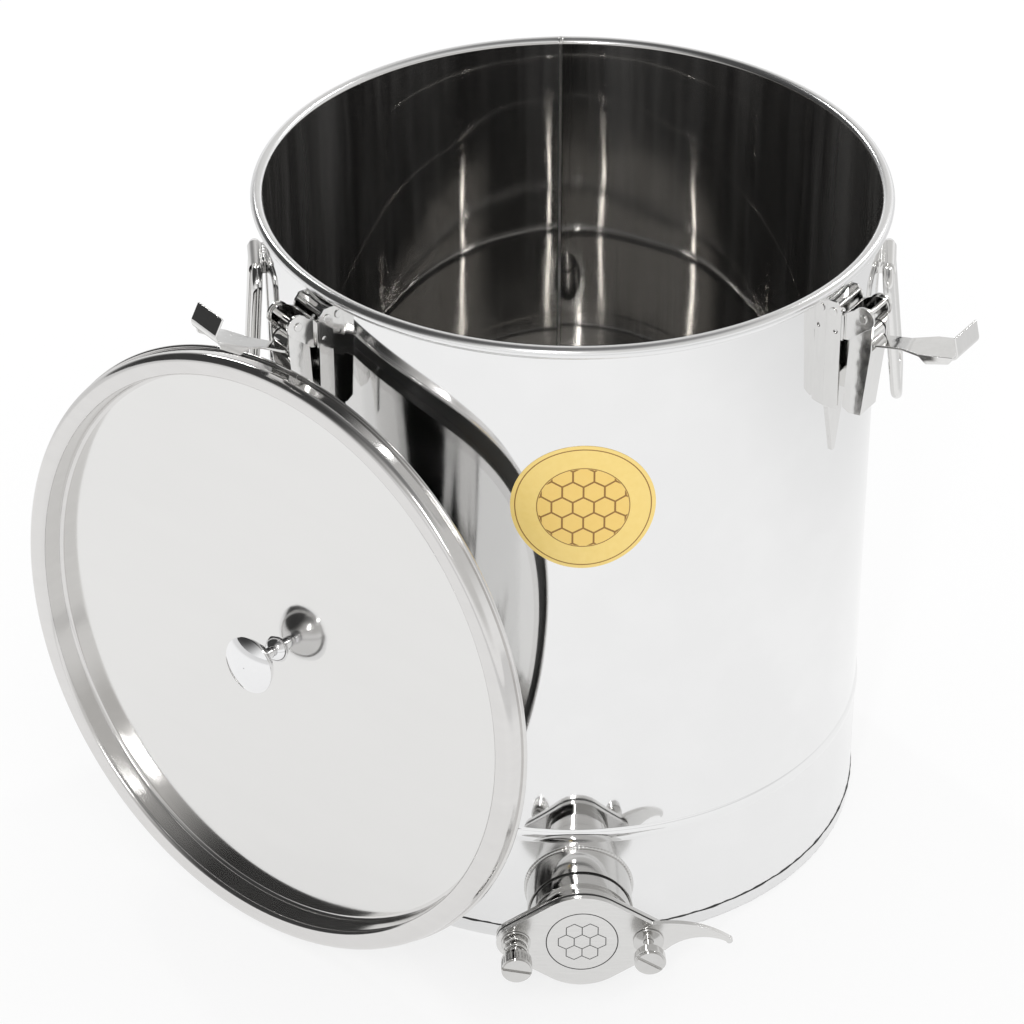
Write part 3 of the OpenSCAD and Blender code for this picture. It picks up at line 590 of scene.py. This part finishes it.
def smooth_lid():
    """The lid as one turned sheet: from the hole for the knob over the floor, up the channel, over the crown,
    down the skirt, round the hem and back under it all; then leaned back, set away from the axis and turned
    to its side. The floor takes its own finish."""
    sheet, hem, skirt = 0.001, 0.00145, LID_R - 0.0019
    inner, drop, edge = skirt - 0.014, 0.0025, 0.003
    small, large = 0.0035, 0.005
    hole = 0.0025
    skirt_top = LID_H - large - 0.001
    hem_top, hem_inside = 0.0036, 0.0026
    floor_edge = inner - edge
    slack = 0.0001
    profile = np.concatenate([
        line((hole, -drop - sheet), (hole, -drop)),
        line((hole, -drop), (floor_edge, -drop), 30),
        arc((floor_edge, edge - drop), edge, -90, 0, 10),
        arc((inner + small, LID_H - small), small, 180, 90, 12),
        arc((skirt - large, LID_H - large), large, 90, 0, 14),
        line((skirt, skirt_top), (skirt, hem_top), 2),
        arc((LID_R - hem, hem), hem, 108, -180, 20),
        line((skirt - sheet, hem_inside), (skirt - sheet, skirt_top), 2),
        arc((skirt - large, LID_H - large), large - sheet, 0, 90, 10),
        arc((inner + small, LID_H - small), small - sheet, 90, 180, 8),
        line((inner + sheet, -drop - sheet), (hole, -drop - sheet), 30),
    ])
    points, faces = turned(profile)
    reach = np.hypot(points[:, 0], points[:, 1])
    on_floor = (reach[faces] < floor_edge + slack).all(1)
    x, y, z = points.T
    up, out = math.cos(LID_LEAN), math.sin(LID_LEAN)
    y, z = y * out - z * up - LID_AWAY, y * up + z * out + LID_R * up
    x = x + LID_SIDE
    c, s = math.cos(LID_AZ), math.sin(LID_AZ)
    lid = add_turned("lid_rim", np.stack([x * c - y * s, x * s + y * c, z], -1), faces)
    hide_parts("lid_floor")
    lid.data.materials.append(finish("lid_floor"))
    lid.data.polygons.foreach_set("material_index", on_floor.astype(np.int32))


def add_bead(name, path, radius, sides, closed, material):
    """A tube along a path, fixed to the tank."""
    faces = grid_faces(len(path), sides, closed)
    add_piece(name, tube(path, radius, sides, closed), faces, material, "tank")


def seam_sealant():
    """A ragged black line in the seam over the bottom pan: a thin ring whose height and thickness wander
    with sums of sines of the angle."""
    waves = ((37, 0.4, 2), (61, 1.7, 2), (97, 0.2, 2.5), (151, 2.9, 3))
    depth, rise = 0.0001, 0.00022
    thickness, change = 0.00062, 0.00016
    points_on = 720
    turn = np.linspace(0, 2 * np.pi, points_on, endpoint=False)
    wander = sum(np.sin(count * turn + phase) / share for count, phase, share in waves)
    path = about_axis(TANK_R - depth, turn, SEAM_Z + rise * wander)
    radius = thickness + change * np.roll(wander, points_on // 8)
    add_bead("seam_sealant", path, radius, 8, True, finishes["rubber"])


def collar_weld():
    """The weld round the pipe stub: a rippled bead along the line where the stub meets the round wall."""
    off = 0.0002
    thickness, ripple, swell = 0.0012, 0.00012, 0.00015
    turn = np.linspace(0, 2 * np.pi, 360, endpoint=False)
    x = (COLLAR_R + off) * np.cos(turn)
    z = GATE_Z + (COLLAR_R + off) * np.sin(turn)
    path = np.stack([x, -np.sqrt(TANK_R ** 2 - x ** 2) - off, z], -1)
    radius = thickness + ripple * np.sin(90 * turn) + swell * np.sin(7 * turn + 1)
    add_bead("collar_weld", path, radius, 10, True, finishes["gate"])


def sleeve_welds():
    """A rippled bead above and below each handle sleeve where its pad meets the wall."""
    off, pad_half, end_gap = 0.0002, 0.0043, 0.003
    thickness, ripple, tip = 0.0013, 0.0001, 0.00001
    along = np.linspace(-1, 1, 90)
    radius = np.sqrt(1 - along ** 8) * (thickness + ripple * np.sin(100 * along)) + tip
    for side, middle in HANDLE_AZ.items():
        turn = middle + along * (SLEEVE_L / 2 - end_gap) / TANK_R
        for edge, z in (("upper", HANDLE_Z + pad_half), ("lower", HANDLE_Z - pad_half)):
            path = about_axis(TANK_R + off, turn, z)
            add_bead(f"sleeve_weld_{edge}_{side}", path, radius, 10, False, finishes["rod"])


def smooth_spring():
    """The round wire of the pivot spring: a helix about the shank with a flat stretch at each end."""
    low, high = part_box("pivot_spring")
    wire_r, sides = 0.0011, 14
    turns, start_angle, flat_share = 2.6, 0.4, 0.06
    coil_r = (high[0] - low[0]) / 2 - wire_r
    part = np.linspace(0, 1, 220)
    turn = 2 * np.pi * turns * part + start_angle
    climb = np.clip((part - flat_share) / (1 - 2 * flat_share), 0, 1)
    depth = low[1] + wire_r + (high[1] - low[1] - 2 * wire_r) * climb
    path = np.stack([-SCREW_X + coil_r * np.cos(turn), depth, GATE_Z + coil_r * np.sin(turn)], -1)
    first_end, last_end = path[:1].repeat(sides, 0), path[-1:].repeat(sides, 0)
    points = np.concatenate([first_end, tube(path, wire_r, sides), last_end])
    faces = grid_faces(len(path) + 2, sides)
    spring = add_piece("round_spring", points, faces, finishes["wire"], "tank")
    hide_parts("pivot_spring")


smooth_shell()
smooth_lid()
seam_sealant()
collar_weld()
sleeve_welds()
smooth_spring()


# Camera, floor and light


def set_camera():
    """The photograph's view: a long lens, about 34 degrees down, a little left of the gate."""
    tilt_down, turn = 0.5921, -0.0263
    data = bpy.data.cameras.new("camera")
    data.sensor_width = 36
    data.lens = 139.86
    data.clip_end = 50
    camera = bpy.data.objects.new("camera", data)
    camera.location = (-0.0930, -2.1303, 1.6365)
    camera.rotation_euler = (math.pi / 2 - tilt_down, 0, turn)
    scene.collection.objects.link(camera)
    scene.camera = camera


def set_floor():
    """White paper: mostly white by itself where it is seen, straight, in bright metal or through glass, so
    that only a soft shadow shows; bright metal mirrors the part far from the tank greyer."""
    half = 9
    white, far_grey, paper_grey = (1.0, 1.0, 1.0), (0.74, 0.74, 0.74), (0.9, 0.9, 0.9, 1)
    middle, near, far = (-0.35, -0.45, 0), 0.8, 1.4
    own_white = 0.78
    mesh = bpy.data.meshes.new("floor")
    corners = [(-half, -half, 0), (half, -half, 0), (half, half, 0), (-half, half, 0)]
    mesh.from_pydata(corners, [], [(0, 1, 2, 3)])
    floor = bpy.data.objects.new("floor", mesh)
    scene.collection.objects.link(floor)
    material = bpy.data.materials.new("floor_paper")
    material.use_nodes = True
    tree = material.node_tree
    tree.nodes.remove(tree.nodes["Principled BSDF"])
    paper = put(tree, "ShaderNodeBsdfDiffuse", {"Color": paper_grey}).outputs[0]
    rays = put(tree, "ShaderNodeLightPath").outputs
    place = put(tree, "ShaderNodeTexCoord").outputs["Object"]
    away = measure(tree, "DISTANCE", place, middle)
    greyed = calc(tree, "MULTIPLY", fade(tree, away, near, far), rays["Is Glossy Ray"])
    sheet = blend_colour(tree, greyed, white, far_grey)
    glow = put(tree, "ShaderNodeEmission", {"Color": sheet, "Strength": 1.0}).outputs[0]
    seen = calc(tree, "MAXIMUM", rays["Is Camera Ray"], rays["Is Glossy Ray"])
    seen = calc(tree, "MAXIMUM", seen, rays["Is Transmission Ray"])
    share = calc(tree, "MULTIPLY", seen, own_white)
    mixed = put(tree, "ShaderNodeMixShader", {0: share, 1: paper, 2: glow}).outputs[0]
    tree.links.new(mixed, tree.nodes["Material Output"].inputs["Surface"])
    mesh.materials.append(material)


def set_room():
    """What bright metal mirrors: a white room low down, grey above it, a dim ceiling overhead and a dark
    patch up on the left. The camera sees plain white, and all other light is an even white."""
    white, even = (1.0, 1.0, 1.0), (0.92, 0.92, 0.92)
    upper, ceiling, dark = (0.70, 0.695, 0.685), (0.20, 0.20, 0.20), (0.05, 0.05, 0.05)
    upper_zone, ceiling_zone = (0.12, 0.42), (0.70, 0.98)
    to_patch, patch_zone = (-0.80, 0.20, 0.565), (0.45, 0.85)
    world = bpy.data.worlds.new("studio")
    world.use_nodes = True
    scene.world = world
    tree = world.node_tree
    ray = put(tree, "ShaderNodeTexCoord").outputs["Generated"]
    height = parts_of(tree, ray)[2]
    room = blend_colour(tree, fade(tree, height, *upper_zone), white, upper)
    room = blend_colour(tree, fade(tree, height, *ceiling_zone), room, ceiling)
    toward = measure(tree, "DOT_PRODUCT", ray, to_patch)
    room = blend_colour(tree, fade(tree, toward, *patch_zone), room, dark)
    rays = put(tree, "ShaderNodeLightPath").outputs
    plain = blend_colour(tree, rays["Is Glossy Ray"], even, room)
    colour = blend_colour(tree, rays["Is Camera Ray"], plain, white)
    background = tree.nodes["Background"]
    tree.links.new(colour, background.inputs["Color"])
    background.inputs["Strength"].default_value = 1


def add_lamp(name, turn, rise, tall, energy):
    """A soft upright strip that looks at the tank's axis near the rim; turn and rise are degrees round from
    the gate and up, tall is in metres and energy in watts."""
    width, away, aim_z = 0.18, 3.2, 0.4
    data = bpy.data.lights.new(name, "AREA")
    data.shape = "RECTANGLE"
    data.size = width
    data.size_y = tall
    data.energy = energy
    lamp = bpy.data.objects.new(name, data)
    a, e = math.radians(turn), math.radians(rise)
    lamp.location = about_axis(away * math.cos(e), a, aim_z + away * math.sin(e))
    lamp.rotation_euler = (math.pi / 2 - e, 0, a)
    scene.collection.objects.link(lamp)


set_camera()
set_floor()
set_room()
add_lamp("front_strip", -11, 36, 1.0, 13)
add_lamp("back_left_strip", -147, 36, 1.0, 13)
add_lamp("back_right_strip", 130, 37, 1.2, 14)
